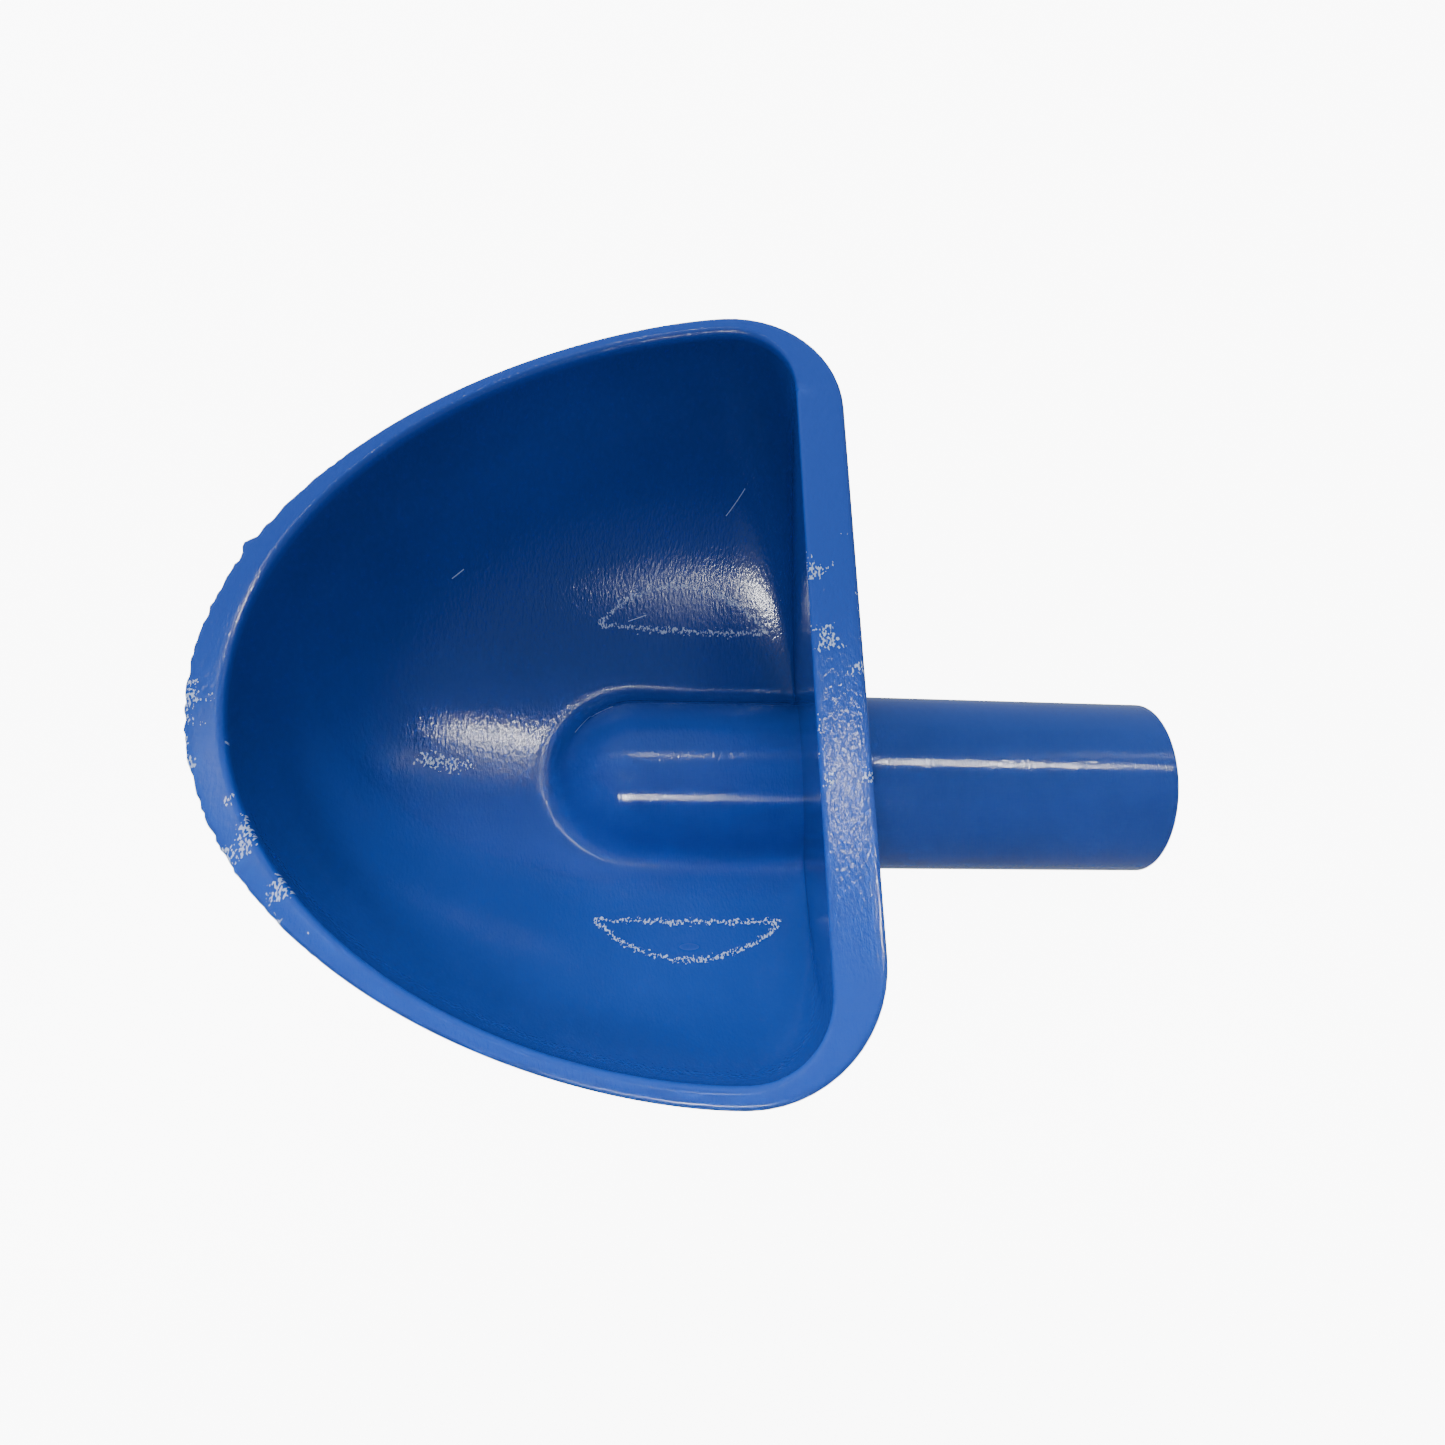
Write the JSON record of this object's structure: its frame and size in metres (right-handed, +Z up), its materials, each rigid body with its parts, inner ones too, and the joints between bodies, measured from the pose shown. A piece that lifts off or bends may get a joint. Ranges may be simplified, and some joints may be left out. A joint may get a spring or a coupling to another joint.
{
  "type": "feed scoop",
  "caption": "Rounded D-mouthed plastic scoop bowl with a flat back wall, and a short round socket that takes a pole.",
  "frame": {"origin": "centre of the socket's mouth, on the socket's axis", "axes": "+X out of the socket's mouth along its axis, +Z up on the side that the bowl's mouth faces; the bowl is symmetric across the XZ plane"},
  "size_m": [0.1369, 0.1, 0.0608],
  "materials": {
    "bowl_plastic": "glossy moulded blue plastic, finely pitted, with a pale blue cast on the rim",
    "socket_plastic": "glossy moulded blue plastic with fine lengthwise draw lines"
  },
  "bodies": {
    "root": {"scoop_bowl": "bowl_plastic", "pole_socket": "socket_plastic"}
  },
  "joints": []
}
